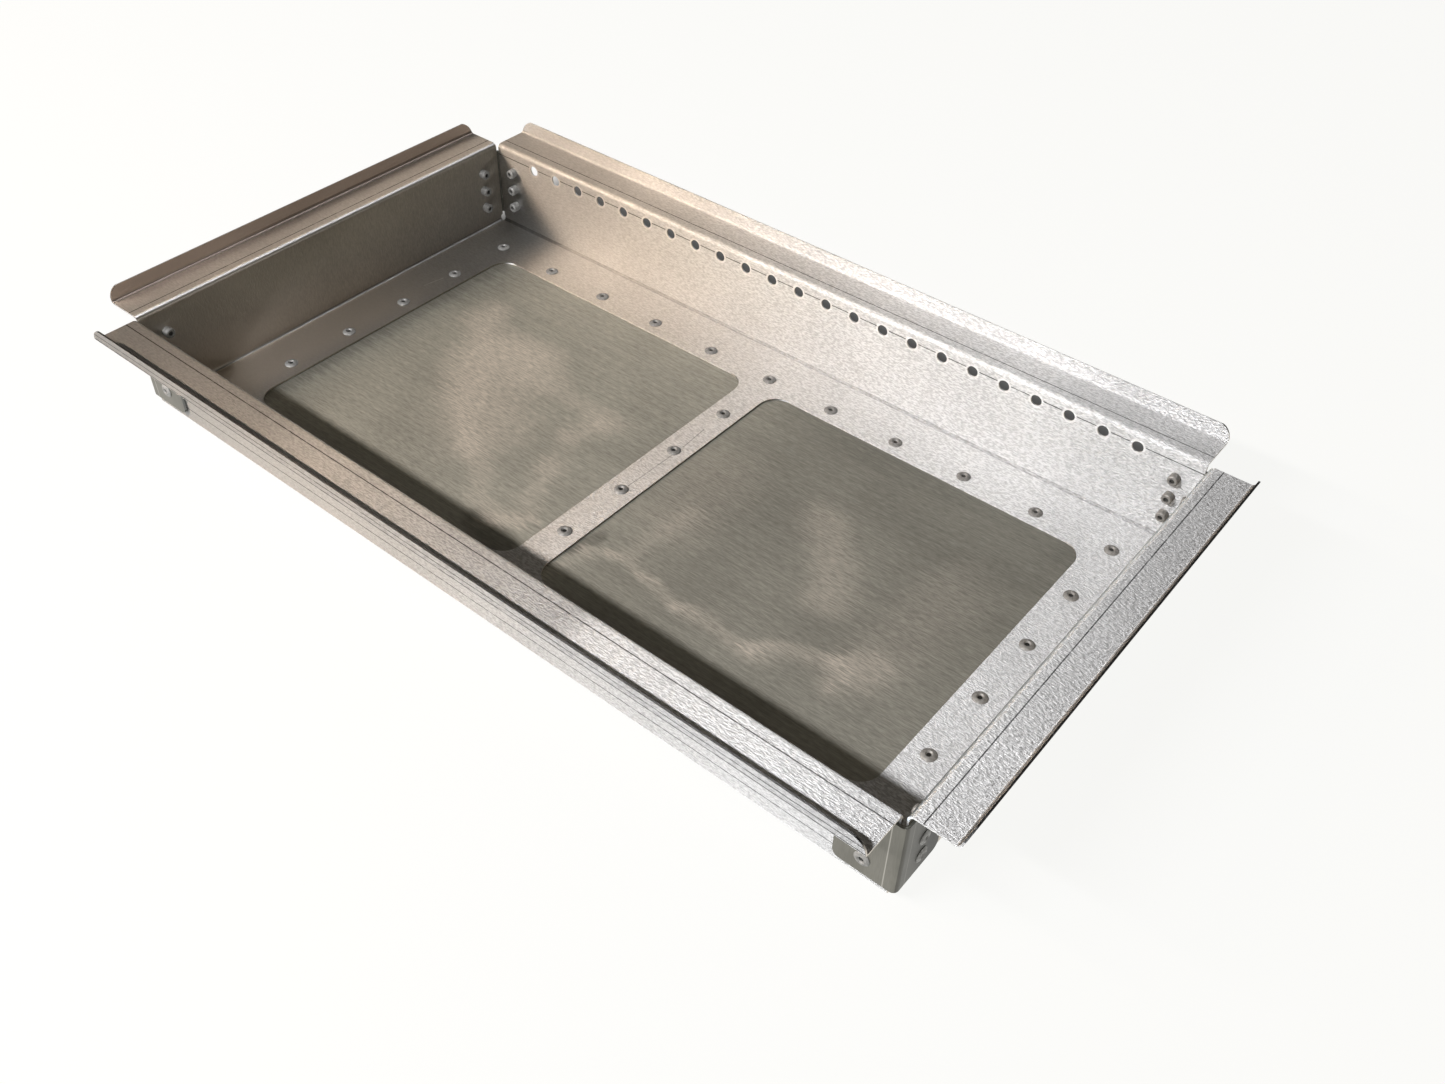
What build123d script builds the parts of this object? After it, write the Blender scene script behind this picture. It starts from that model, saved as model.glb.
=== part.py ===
from build123d import *
import math
import os

# A shallow folded sheet-metal tray. Its floor has two large windows, closed from
# below by one sheet of fine wire cloth that a flat retainer frame clamps up
# against the floor with blind rivets. Each wall turns out into a flange with an
# upturned lip, and the four open corners are tied by riveted angle brackets.
# Millimetres. +Z is up, X runs along the tray, the front is -Y, and the origin
# is the centre of the base, level with the ends of the rivets under the tray.

# Tray pan
SHEET = 1.0
BEND_INSIDE = 2.0
BEND_OUTSIDE = BEND_INSIDE + SHEET
INNER_LENGTH = 513.0
INNER_WIDTH = 275.0
WALL_HEIGHT = 56.5
FLANGE_WIDTH = 23.0
LIP_HEIGHT = 7.8
LIP_LEAN = 15.0
FRONT_LIP_LEAN = 0.0
FRONT_LIP_BEND_INSIDE = 1.0
LONG_WALL_SETBACK = 1.5
END_WALL_SETBACK = 0.5
CORNER_RELIEF_HEIGHT = 3.5

# Windows in the floor and in the retainer frame
CENTRE_BAR = 20.0
WINDOW_LENGTH = 208.0
WINDOW_WIDTH = 202.0
WINDOW_CORNER = 12.0

# Bolt holes along both long walls
BOLT_HOLE_RADIUS = 3.3
BOLT_HOLE_COUNT = 23
BOLT_HOLE_PITCH = 20.0
BOLT_ROW_OFFSET = -1.9
BOLT_HOLE_HEIGHT = 48.1

# Wire cloth and the retainer frame under it
CLOTH_THICKNESS = 0.4
CLOTH_LENGTH = 480.0
CLOTH_WIDTH = 244.0
RETAINER_THICKNESS = 1.0
RETAINER_LENGTH = 484.0
RETAINER_WIDTH = 248.0
RETAINER_CORNER = 5.0

# Blind rivets, 4 mm, set in holes a little wider than the shank
RIVET_RADIUS = 2.0
RIVET_HOLE_RADIUS = 2.05
RIVET_HEAD_RADIUS = 4.0
RIVET_HEAD_EDGE = 0.3
RIVET_HEAD_HEIGHT = 1.15
RIVET_DOME_FULLNESS = 0.72
RIVET_RECESS_RADIUS = 1.9
RIVET_RECESS_DEPTH = 0.6
RIVET_BORE_RADIUS = 1.2
RIVET_TAIL_RADIUS = 2.95
RIVET_TAIL_CHAMFER = 0.5
CHAMBER_RADIUS = 1.45
CHAMBER_DEPTH = 2.0
MANDREL_RADIUS = 1.12
MANDREL_HEAD_RADIUS = 1.43
MANDREL_HEAD_LENGTH = 1.1
MANDREL_BREAK_HEIGHT = 0.35
SCREEN_TAIL = 3.2
CORNER_TAIL = 4.5

# Screen rivet layout: a ring round both windows and a column on the centre bar
RIVET_PITCH_X = 45.75
RIVET_PITCH_Y = 44.2
COLUMNS_PER_SIDE = 5
INNER_ROWS = [-1.5, -0.5, 0.5, 1.5]
OUTER_ROW = 2.5

# Corner brackets
BRACKET_THICKNESS = 1.5
BRACKET_INSIDE = 1.5
BRACKET_OUTSIDE = BRACKET_INSIDE + BRACKET_THICKNESS
BRACKET_LEG = 32.0
BRACKET_HEIGHT = 45.0
BRACKET_CORNER = 4.0
BRACKET_CENTRE_HEIGHT = 27.7
CORNER_RIVET_PITCH = 12.5
CORNER_RIVET_INSET = 15.0

# Levels and half sizes that follow from the sizes above, and how far cutters run past
RETAINER_BASE = SCREEN_TAIL
CLOTH_BASE = RETAINER_BASE + RETAINER_THICKNESS
FLOOR_BASE = CLOTH_BASE + CLOTH_THICKNESS
FLOOR_TOP = FLOOR_BASE + SHEET
HALF_LENGTH = INNER_LENGTH / 2
HALF_WIDTH = INNER_WIDTH / 2
WINDOW_CENTRE = (CENTRE_BAR + WINDOW_LENGTH) / 2
SCREEN_GRIP = SHEET + CLOTH_THICKNESS + RETAINER_THICKNESS
CORNER_GRIP = SHEET + BRACKET_THICKNESS
CUT = 10.0
LIP_CUT = 30.0
DRILL_LENGTH = 40.0

# Outward direction of each wall, the distance of its inner face from the centre,
# and half of its own length
WALLS = {
    "rear": (Vector(0, 1, 0), HALF_WIDTH, HALF_LENGTH - LONG_WALL_SETBACK),
    "front": (Vector(0, -1, 0), HALF_WIDTH, HALF_LENGTH - LONG_WALL_SETBACK),
    "right": (Vector(1, 0, 0), HALF_LENGTH, HALF_WIDTH - END_WALL_SETBACK),
    "left": (Vector(-1, 0, 0), HALF_LENGTH, HALF_WIDTH - END_WALL_SETBACK),
}

# Sign of X and Y, and the turn of the bracket, at each corner
CORNERS = {
    "rear_right": (1, 1, 0),
    "rear_left": (-1, 1, 90),
    "front_left": (-1, -1, 180),
    "front_right": (1, -1, 270),
}


def wall_plane(outward, distance):
    """Plane across a wall: x points outward, y up, and the normal runs along the wall."""
    along = Vector(outward.Y, -outward.X, 0)
    return Plane(
        origin=outward * distance + Vector(0, 0, FLOOR_TOP),
        x_dir=outward,
        z_dir=along,
    )


def lip_run(lean):
    """How far out from the end of the flange the visible side of a lip leans."""
    return LIP_HEIGHT * math.tan(math.radians(lean))


def lip_reach(lean):
    """How far out from the end of the flange a lip reaches, with its thickness."""
    return lip_run(lean) + SHEET * math.cos(math.radians(lean))


def wall_section(lean, lip_bend):
    """Folded section from the floor's edge up the wall, out along the flange and up the lip."""
    flange = FLANGE_WIDTH + lip_reach(LIP_LEAN) - lip_reach(lean)
    visible_side = FilletPolyline(
        (-BEND_INSIDE - SHEET, 0),
        (0, 0),
        (0, WALL_HEIGHT),
        (flange, WALL_HEIGHT),
        (flange + lip_run(lean), WALL_HEIGHT + LIP_HEIGHT),
        radius=[BEND_INSIDE, BEND_OUTSIDE, lip_bend],
    )
    return make_face(offset(visible_side, amount=SHEET, side=Side.RIGHT).edges())


def lip_corner_cutter(half_length):
    """What is cut from the two top corners of a lip to round them."""
    top = WALL_HEIGHT + LIP_HEIGHT
    corner = Pos(half_length, top) * Rectangle(2 * LIP_HEIGHT, 2 * LIP_HEIGHT)
    rounding = Pos(half_length - LIP_HEIGHT, top - LIP_HEIGHT) * Circle(LIP_HEIGHT)
    inward = Rectangle(LIP_HEIGHT, 4 * LIP_HEIGHT, align=(Align.MAX, Align.CENTER))
    kept = Pos(half_length - LIP_HEIGHT, top) * inward
    return corner - rounding - kept


def folded_wall(outward, distance, half_length):
    """One wall with its flange and lip, straight along its length."""
    plane = wall_plane(outward, distance)
    in_front = outward.Y < 0
    lean = FRONT_LIP_LEAN if in_front else LIP_LEAN
    lip_bend = FRONT_LIP_BEND_INSIDE if in_front else BEND_INSIDE
    wall = extrude(plane * wall_section(lean, lip_bend), amount=half_length, both=True)
    for side in (1, -1):
        along = plane.z_dir * side
        face_on = Plane(
            origin=plane.origin + outward * (FLANGE_WIDTH - BEND_OUTSIDE),
            x_dir=along,
            z_dir=along.cross(Vector(0, 0, 1)),
        )
        reach = outward.dot(face_on.z_dir) * LIP_CUT
        wall -= extrude(face_on * lip_corner_cutter(half_length), amount=reach)
    return wall


def screen_rivet_places():
    """Centres of the rivets through the floor, by the part of the ring they belong to."""
    edge_x = COLUMNS_PER_SIDE * RIVET_PITCH_X
    edge_y = OUTER_ROW * RIVET_PITCH_Y
    columns = range(-COLUMNS_PER_SIDE, COLUMNS_PER_SIDE + 1)
    return {
        "rear": [(i * RIVET_PITCH_X, edge_y) for i in columns],
        "front": [(i * RIVET_PITCH_X, -edge_y) for i in columns],
        "left": [(-edge_x, j * RIVET_PITCH_Y) for j in INNER_ROWS],
        "right": [(edge_x, j * RIVET_PITCH_Y) for j in INNER_ROWS],
        "centre": [(0, j * RIVET_PITCH_Y) for j in INNER_ROWS],
    }


def all_screen_rivet_places():
    return [place for group in screen_rivet_places().values() for place in group]


def corner_rivet_heights():
    return [BRACKET_CENTRE_HEIGHT + k * CORNER_RIVET_PITCH for k in (-1, 0, 1)]


def corner_rivet_planes(sign_x, sign_y):
    """One plane per rivet, on the bracket's outer face with its normal pointing outward."""
    end_face = sign_x * (HALF_LENGTH + CORNER_GRIP)
    side_face = sign_y * (HALF_WIDTH + CORNER_GRIP)
    inset_x = sign_x * (HALF_LENGTH - CORNER_RIVET_INSET)
    inset_y = sign_y * (HALF_WIDTH - CORNER_RIVET_INSET)
    planes = []
    for height in corner_rivet_heights():
        level = FLOOR_TOP + height
        planes.append(Plane(origin=(end_face, inset_y, level), z_dir=(sign_x, 0, 0)))
        planes.append(Plane(origin=(inset_x, side_face, level), z_dir=(0, sign_y, 0)))
    return planes


def windows(base, thickness):
    """The two window openings as solids, through a plate of this base and thickness."""
    opening = RectangleRounded(WINDOW_LENGTH, WINDOW_WIDTH, WINDOW_CORNER)
    pair = [Pos(side * WINDOW_CENTRE, 0, base - CUT) * opening for side in (-1, 1)]
    return [extrude(face, amount=thickness + 2 * CUT) for face in pair]


def screen_rivet_holes():
    """Clearance holes for every screen rivet."""
    drill = Cylinder(RIVET_HOLE_RADIUS, DRILL_LENGTH)
    return [Pos(x, y, FLOOR_BASE) * drill for x, y in all_screen_rivet_places()]


def corner_rivet_holes(sign_x, sign_y):
    """Clearance holes for the rivets of one corner, through its bracket and both walls."""
    drill = Cylinder(RIVET_HOLE_RADIUS, CUT)
    return [plane.location * drill for plane in corner_rivet_planes(sign_x, sign_y)]


def bolt_holes():
    """Bolt holes drilled across the tray, through both long walls."""
    drill = Cylinder(BOLT_HOLE_RADIUS, 2 * (HALF_WIDTH + CUT), rotation=(90, 0, 0))
    middle = (BOLT_HOLE_COUNT - 1) / 2
    level = FLOOR_TOP + BOLT_HOLE_HEIGHT
    places = [BOLT_ROW_OFFSET + (k - middle) * BOLT_HOLE_PITCH for k in range(BOLT_HOLE_COUNT)]
    return [Pos(x, 0, level) * drill for x in places]


def corner_reliefs():
    """Notches that free the ends of the floor bends at the four corners."""
    size = 2 * (BEND_INSIDE + CUT)
    height = SHEET + CORNER_RELIEF_HEIGHT + CUT
    block = Box(size, size, height, align=(Align.CENTER, Align.CENTER, Align.MAX))
    level = FLOOR_TOP + CORNER_RELIEF_HEIGHT
    reach_x = HALF_LENGTH - BEND_INSIDE + size / 2
    reach_y = HALF_WIDTH - BEND_INSIDE + size / 2
    return [Pos(sx * reach_x, sy * reach_y, level) * block for sx, sy, _ in CORNERS.values()]


def tray_pan():
    """The pan: floor, four walls, flanges and lips folded from one sheet."""
    floor = Box(
        2 * (HALF_LENGTH - BEND_INSIDE),
        2 * (HALF_WIDTH - BEND_INSIDE),
        SHEET,
        align=(Align.CENTER, Align.CENTER, Align.MIN),
    )
    pan = Pos(0, 0, FLOOR_BASE) * floor
    for outward, distance, half_length in WALLS.values():
        pan += folded_wall(outward, distance, half_length)
    for cutter in corner_reliefs() + windows(FLOOR_BASE, SHEET):
        pan -= cutter
    pan -= screen_rivet_holes()
    pan -= bolt_holes()
    for sign_x, sign_y, _ in CORNERS.values():
        pan -= corner_rivet_holes(sign_x, sign_y)
    return pan


def screen_cloth():
    """One sheet of fine woven wire cloth, closed by the floor above and the frame below."""
    on_base = (Align.CENTER, Align.CENTER, Align.MIN)
    sheet = Box(CLOTH_LENGTH, CLOTH_WIDTH, CLOTH_THICKNESS, align=on_base)
    return Pos(0, 0, CLOTH_BASE) * sheet - screen_rivet_holes()


def screen_retainer_frame():
    """Flat frame under the cloth, with the same two windows as the floor."""
    outline = RectangleRounded(RETAINER_LENGTH, RETAINER_WIDTH, RETAINER_CORNER)
    frame = Pos(0, 0, RETAINER_BASE) * extrude(outline, amount=RETAINER_THICKNESS)
    for cutter in windows(RETAINER_BASE, RETAINER_THICKNESS):
        frame -= cutter
    return frame - screen_rivet_holes()


def corner_bracket(sign_x, sign_y, turn):
    """Angle bracket outside one corner, with equal legs and rounded free corners."""
    outer_side = FilletPolyline((-BRACKET_LEG, 0), (0, 0), (0, -BRACKET_LEG), radius=BRACKET_OUTSIDE)
    section = make_face(offset(outer_side, amount=BRACKET_THICKNESS, side=Side.RIGHT).edges())
    angle = extrude(section, amount=BRACKET_HEIGHT)
    end_of_x_leg = angle.edges().filter_by(Axis.Y).group_by(Axis.X)[0]
    end_of_y_leg = angle.edges().filter_by(Axis.X).group_by(Axis.Y)[0]
    angle = fillet(end_of_x_leg + end_of_y_leg, BRACKET_CORNER)
    corner = Location(
        (
            sign_x * (HALF_LENGTH + CORNER_GRIP),
            sign_y * (HALF_WIDTH + CORNER_GRIP),
            FLOOR_TOP + BRACKET_CENTRE_HEIGHT - BRACKET_HEIGHT / 2,
        ),
        (0, 0, turn),
    )
    return corner * angle - corner_rivet_holes(sign_x, sign_y)


def blind_rivet(grip, tail):
    """Set rivet body on +Z: domed head above z = 0, shank through the grip, tail below it."""
    end = -grip - tail
    recess_floor = RIVET_HEAD_HEIGHT - RIVET_RECESS_DEPTH
    dome_middle_radius = (RIVET_HEAD_RADIUS + RIVET_RECESS_RADIUS) / 2
    dome_rise = RIVET_HEAD_HEIGHT - RIVET_HEAD_EDGE
    dome_middle_height = RIVET_HEAD_EDGE + RIVET_DOME_FULLNESS * dome_rise
    dome = ThreePointArc(
        (RIVET_HEAD_RADIUS, RIVET_HEAD_EDGE),
        (dome_middle_radius, dome_middle_height),
        (RIVET_RECESS_RADIUS, RIVET_HEAD_HEIGHT),
    )
    inside_and_tail = Polyline(
        (RIVET_RECESS_RADIUS, RIVET_HEAD_HEIGHT),
        (RIVET_BORE_RADIUS, recess_floor),
        (RIVET_BORE_RADIUS, end + CHAMBER_DEPTH),
        (CHAMBER_RADIUS, end + CHAMBER_DEPTH),
        (CHAMBER_RADIUS, end),
        (RIVET_TAIL_RADIUS - RIVET_TAIL_CHAMFER, end),
        (RIVET_TAIL_RADIUS, end + RIVET_TAIL_CHAMFER),
        (RIVET_TAIL_RADIUS, -grip),
        (RIVET_RADIUS, -grip),
        (RIVET_RADIUS, 0),
        (RIVET_HEAD_RADIUS, 0),
        (RIVET_HEAD_RADIUS, RIVET_HEAD_EDGE),
    )
    profile = make_face(Plane.XZ * (dome + inside_and_tail))
    return revolve(profile, Axis.Z)


def rivet_mandrel(grip, tail):
    """Broken mandrel left inside a set rivet: a stem and the head that formed the tail."""
    shoulder = -grip - tail + CHAMBER_DEPTH
    stem_length = MANDREL_BREAK_HEIGHT - shoulder
    on_top = (Align.CENTER, Align.CENTER, Align.MIN)
    under = (Align.CENTER, Align.CENTER, Align.MAX)
    stem = Pos(0, 0, shoulder) * Cylinder(MANDREL_RADIUS, stem_length, align=on_top)
    head = Pos(0, 0, shoulder) * Cylinder(MANDREL_HEAD_RADIUS, MANDREL_HEAD_LENGTH, align=under)
    return stem + head


def repeated(piece, locations):
    """Copies of one fastener, kept as separate solids of one group."""
    return Compound([location * piece for location in locations])


def screen_fasteners():
    """Rivets and mandrels through floor, cloth and frame, heads on top of the floor."""
    rivet = blind_rivet(SCREEN_GRIP, SCREEN_TAIL)
    mandrel = rivet_mandrel(SCREEN_GRIP, SCREEN_TAIL)
    parts = {}
    for group, places in screen_rivet_places().items():
        locations = [Location((x, y, FLOOR_TOP)) for x, y in places]
        parts[f"screen_rivets_{group}"] = repeated(rivet, locations)
        parts[f"screen_rivet_mandrels_{group}"] = repeated(mandrel, locations)
    return parts


def corner_parts():
    """Brackets, rivets and mandrels of the four corners, rivet heads on the outside."""
    rivet = blind_rivet(CORNER_GRIP, CORNER_TAIL)
    mandrel = rivet_mandrel(CORNER_GRIP, CORNER_TAIL)
    parts = {}
    for corner, (sign_x, sign_y, turn) in CORNERS.items():
        locations = [plane.location for plane in corner_rivet_planes(sign_x, sign_y)]
        parts[f"corner_bracket_{corner}"] = corner_bracket(sign_x, sign_y, turn)
        parts[f"corner_rivets_{corner}"] = repeated(rivet, locations)
        parts[f"corner_rivet_mandrels_{corner}"] = repeated(mandrel, locations)
    return parts


def main():
    parts = {
        "tray_pan": tray_pan(),
        "screen_cloth": screen_cloth(),
        "screen_retainer_frame": screen_retainer_frame(),
        **screen_fasteners(),
        **corner_parts(),
    }
    os.makedirs("parts", exist_ok=True)
    for name, shape in parts.items():
        export_step(shape, f"parts/{name}.step")


main()
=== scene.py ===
import math

import bmesh
import bpy
from mathutils import Matrix, Vector


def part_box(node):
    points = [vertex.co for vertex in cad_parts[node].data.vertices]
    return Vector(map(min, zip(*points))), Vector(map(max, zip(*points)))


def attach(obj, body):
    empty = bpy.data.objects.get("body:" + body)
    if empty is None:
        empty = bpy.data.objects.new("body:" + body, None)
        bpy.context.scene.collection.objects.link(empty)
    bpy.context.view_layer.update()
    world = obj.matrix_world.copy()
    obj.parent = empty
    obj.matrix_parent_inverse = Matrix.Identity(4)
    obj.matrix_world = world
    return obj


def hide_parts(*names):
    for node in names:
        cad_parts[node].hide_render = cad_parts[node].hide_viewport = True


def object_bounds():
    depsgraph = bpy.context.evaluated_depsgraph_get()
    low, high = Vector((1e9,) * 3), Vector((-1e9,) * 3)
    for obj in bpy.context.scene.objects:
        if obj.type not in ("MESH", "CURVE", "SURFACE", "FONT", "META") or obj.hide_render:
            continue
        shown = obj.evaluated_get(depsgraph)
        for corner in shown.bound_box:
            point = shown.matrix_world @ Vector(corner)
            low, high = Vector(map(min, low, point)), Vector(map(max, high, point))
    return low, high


# Looks of the screening tray. Metres; +Z is up, X runs along the tray, the front is -Y.
# A fade is given as its start and end, and where it has four numbers, the last two are its values there.

# Camera: direction to it from the aim point and roll in degrees, distance, and lens and sensor in millimetres
CAMERA_AZIMUTH = 38.034
CAMERA_ELEVATION = 43.382
CAMERA_ROLL = 1.775
CAMERA_DISTANCE = 0.7536
CAMERA_LENS = 33.70
CAMERA_SENSOR = 36.0
CAMERA_NEAREST = 0.02
AIM_POINT = Vector((0.0502, 0.0053, -0.0227))

# Strip lights in front of the tray, raised by degrees: (name, left end, right end, radiance, colour)
STRIP_DISTANCE = 1.47
STRIP_ELEVATION = 45.2
STRIP_HEIGHT = 0.07
STRIPS = (
    ("neutral_strip", -0.60, 0.08, 148.0, (1.0, 1.0, 1.03)),
    ("middle_strip", -0.71, -0.60, 112.0, (1.0, 0.97, 0.92)),
    ("warm_strip", -1.46, -0.89, 122.0, (1.0, 0.78, 0.59)),
    ("dim_strip", -2.10, -1.46, 40.0, (1.0, 0.81, 0.66)),
)

# Air: (height of the direction, colour) at the horizon and overhead
HORIZON = (0.10, (0.86, 0.86, 0.85, 1.0))
OVERHEAD = (0.30, (0.115, 0.103, 0.087, 1.0))

# Floor, which glows, with a painted shadow under the tray and behind it that shows through the bolt holes
FLOOR_COLOUR = (0.05, 0.05, 0.05, 1.0)
FLOOR_ROUGHNESS = 0.9
FLOOR_GLOW = (1.0, 1.0, 0.98, 1.0)
FLOOR_STRENGTH = 0.91
FLOOR_SIZE = 12.0
FLOOR_GAP = 0.0002
SHADE_SHIFT = Vector((-0.03, 0.06))
SHADE_FADE = (-0.055, -0.02), (-0.02, 0.025)
SHADE_SHARE = 0.07

# The pan: inner faces of its walls, top of its flanges, and the bolt holes in its long walls
HALF_LENGTH = 0.2565
HALF_WIDTH = 0.1375
FLANGE_TOP = 0.0621
HOLE_LEVEL = 0.0537
HOLE_OFFSET = -0.0019
HOLE_PITCH = 0.020
HOLE_RADIUS = 0.0033
HOLE_ROW_REACH = 0.226

# Lips: how far out from the walls they stand, where their bend ends, and where it starts on the end flanges
LIP_START = 0.0235
LIP_BEND_TOP = 0.0652
LIP_EDGE_FADE = 0.0002
END_LIP_BEND = (0.276, 0.277)

# Ranges that most of a noise's values lie in, and the middle of them
NOISE = (0.3, 0.7)
WIDE_NOISE = (0.2, 0.8)
NOISE_MIDDLE = 0.5

# Fades by how far a surface's normal points: along the tray, outward, aside from a lip's face, and up
FACING_END = (0.6, 0.9)
FACING_END_GRAIN = (0.6, 0.8)
FACING_OUT = (0.4, 0.8)
FACING_ASIDE = (0.6, 0.4)
FACING_UP = (0.8, 0.98)
FLANGE_FACING_UP = (0.3, 0.6)
LEANING = (0.99, 0.92)
LEFT_BEND_LEANING = (0.99, 0.94)
RIGHT_BEND_LEANING = (0.98, 0.90)
NOT_UPRIGHT = (0.12, 0.25)

# Push that keeps the grain's direction from vanishing on the end walls
TANGENT_PUSH = (0.0, 0.02, 0.0)

# Zinc sheet: colour, then grain scales along and across it, and its contrast from the left end to the right
ZINC_COLOUR = (0.56, 0.56, 0.555)
ZINC_GRAIN = (420.0, 1300.0)
GRAIN_TONE = (0.36, 0.64, 0.78, 1.18)
GRAIN_REACH = (-0.26, 0.16)
# The grain's contrast is painted sparkle: faint on the left where the light is dim, strong on the right
GRAIN_CONTRAST = (0.30, 1.15)

# Zinc sheet, tone by place: how bright the sheet is there, as a share of its plain brightness
MARK_TONE = 0.14
BARE_EDGE_TONE = 0.18
HIDDEN_EDGE_SHARE = 0.2
# Bends darkened by painted shade
BEND_SHADE_TONE = 0.55
# Flanges darkened by painted shade
FLANGE_SHADE_TONE = 0.88
BAR_SCRATCH_TONE = 0.60
CORNER_SCRATCH_TONE = 1.5

# Outer faces: how far past the walls' inner faces they start, and the share of light that painted shade takes
# from them, by height
OUTSIDE_START = 0.0005
OUTER_FACE_SHADE = (0.052, 0.062, 0.21, 0.33)

# Floor bend, where shade is painted: how far in from the walls it starts, and its height with a fade
FLOOR_BEND_START = 0.004
FLOOR_BEND_HEIGHTS = (0.010, 0.008)

# Painted shade on the front flange, as a share of its light along X: a patch, how it weakens, and the left
# end
FRONT_PATCH = (0.100, 0.082, 0.0, 0.30)
FRONT_PATCH_WEAKENS = (-0.05, 0.05, 0.45, 1.0)
FRONT_LEFT_END = (-0.07, -0.14, 0.0, 0.25)

# Painted shade that starts past the walls: along Y on the right flange, by distance from the middle on the
# rear one
FLANGE_SHADE_START = 0.001
RIGHT_FLANGE_SHADE = (-0.04, 0.05)
REAR_FLANGE_SHADE = (0.12, 0.20)

# Painted light on the left border of the floor: colour, share, reach along X and Y, and the floor's height
PAINTED_LIGHT_SHEET = (0.96, 0.88, 0.79)
BORDER_LIGHT_SHARE = 0.72
BORDER_LIGHT_X = (-0.205, -0.235)
BORDER_LIGHT_Y = (0.085, -0.01)
BORDER_LIGHT_HEIGHT = 0.010

# Painted shade on the end walls, darker and browner, and painted light on them towards the front
END_WALL_SHADE_TINT = (0.86, 0.79, 0.69)
END_WALL_FRONT_LIGHT = (0.0, -0.08, 0.0, 0.46)

# Left lip and its bend: colour or tint, and share
# The left lip's colour is painted light, lighter and greyer than the sheet
LEFT_LIP = ((0.72, 0.64, 0.57), 0.55)
LEFT_BEND = ((0.70, 0.50, 0.38), 0.6)
LEFT_BEND_X = (-0.2775, -0.2785)

# Painted highlight on the bend at the top of the right wall: colour, share, place past the wall and height
RIGHT_BEND = ((0.80, 0.90, 0.98), 0.7)
RIGHT_BEND_X = (0.0010, 0.0012, 0.0004)
RIGHT_BEND_Z = (0.057, 0.059)

# Burnished ring round each bolt hole: colour, share, and where it ends outside the hole
HOLE_RING = ((0.95, 0.94, 0.92), 0.35)
HOLE_RING_REACH = (0.0016, 0.0006)

# Lines that the bending tools left: out from the wall on the flanges, and by height on the walls and lips
FLANGE_MARK = 0.0071
INNER_WALL_MARK = 0.0551
OUTER_WALL_MARK = 0.0152
LIP_MARKS = (0.0632, 0.0664)
MARK_HALF_WIDTH = 0.0002
MARK_CLEAR_OF_HOLES = (0.0008, 0.0014)
OUTER_MARK_SHARE = 0.85
MARK_WEAR = (0.3, 0.5, 0.6, 1.0)

# Scratches, from end to end: two on the centre bar and one on the left border
SCRATCH_WIDTH = 0.0006
SCRATCH_TOP = 0.006
BAR_SCRATCHES = (
    ((0.0007, 0.048), (0.0020, 0.028)),
    ((0.0020, 0.023), (0.0009, -0.017)),
)
CORNER_SCRATCH = ((-0.2310, 0.058), (-0.2335, 0.044))
STROKE_CORE = 0.15

# Retainer frame
RETAINER_COLOUR = (0.66, 0.65, 0.63)
RETAINER_GRAIN = (400.0, 1300.0)
RETAINER_TONE = (0.28, 0.72, 0.82, 1.1)

# Corner brackets: colour, and where the painted highlight beside the bend runs on each leg
BRACKET_COLOUR = (0.222, 0.216, 0.190)
BRACKET_BEND = (0.2525, 0.1335)
BRACKET_LINE = (0.00015, 0.0002)
BRACKET_LINE_COLOUR = (0.62, 0.60, 0.55)
BRACKET_LINE_SHARE = 0.6
BRACKET_END_LINE_SHARE = 0.3
# Painted shade on the end legs, and painted light on the cut edges of the front legs
BRACKET_END_SHADE = (0.136, 0.112, 0.42, 0.80)
BRACKET_EDGE_START = 0.1387
BRACKET_EDGE_FACING = 0.97
BRACKET_END_FACING = 0.7
BRACKET_EDGE_COLOUR = (0.55, 0.56, 0.54)
BRACKET_EDGE_SHARE = 0.5

# Rivets: colour, roughness and metal share
RIVET_BODY = ((0.32, 0.317, 0.305), 0.60, 0.6)
RIVET_MANDREL = ((0.07, 0.07, 0.067), 0.42, 0.8)

# Wire cloth: colours, then its form and the rivet holes in it
CLOTH_COLOUR = (0.329, 0.326, 0.286)
CLOTH_GLEAM = (0.86, 0.79, 0.70)
CLOTH_CELL = 0.004
CLOTH_THICKNESS = 0.0002
CLOTH_BILLOW = 0.0005
RIVET_HOLE = 0.00205
RIVET_HOLE_SIDES = 24
RIVET_HOLE_DEPTH = 0.002

# Cloth's slack, in X and Y: shares of the half sheet that lie flat at the edges, and over which it grows
FLAT_SHARE = (0.08, 0.20)
RISE_SHARE = (0.18, 0.22)

# Cloth's waves: (radians per metre along X and along Y, phase, height)
WAVES = (
    (31, 17, 0.6, 1.0),
    (-21, 44, 1.9, 0.6),
)

# Cloth's tone by place, painted light and shade: brighter on the left, dimmer near the rear and the front and
# at the left end
LEFT_CLOTH = (-0.03, 0.05, 1.30, 1.0)
REAR_CLOTH_Y = (0.070, 0.101)
REAR_CLOTH_X = (-0.10, 0.02)
REAR_CLOTH_SHADE = 0.18
RIGHT_CLOTH_X = (0.0, 0.06)
RIGHT_CLOTH_Y = (0.038, 0.060, 0.0, 0.08)
FRONT_CLOTH_Y = (-0.078, -0.101, 0.0, 0.06)
LEFT_END = (-0.216, -0.203, 0.75, 1.0)
RAGGED = (-0.002, 0.002)
DARK_STROKE_TONE = 0.66

# Windows: border between their long sides and the retainer's edge, and half of the bar between them
WINDOW_BORDER = 0.023
HALF_BAR = 0.010

# Dark strokes on the cloth: (window, start, end, width), with points as shares of the window from its lower
# left
DARK_STROKES = (
    (-1, (0.84, 0.06), (0.96, 0.03), 0.014),
    (1, (0.0, 0.13), (0.03, 0.22), 0.007),
)
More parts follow.
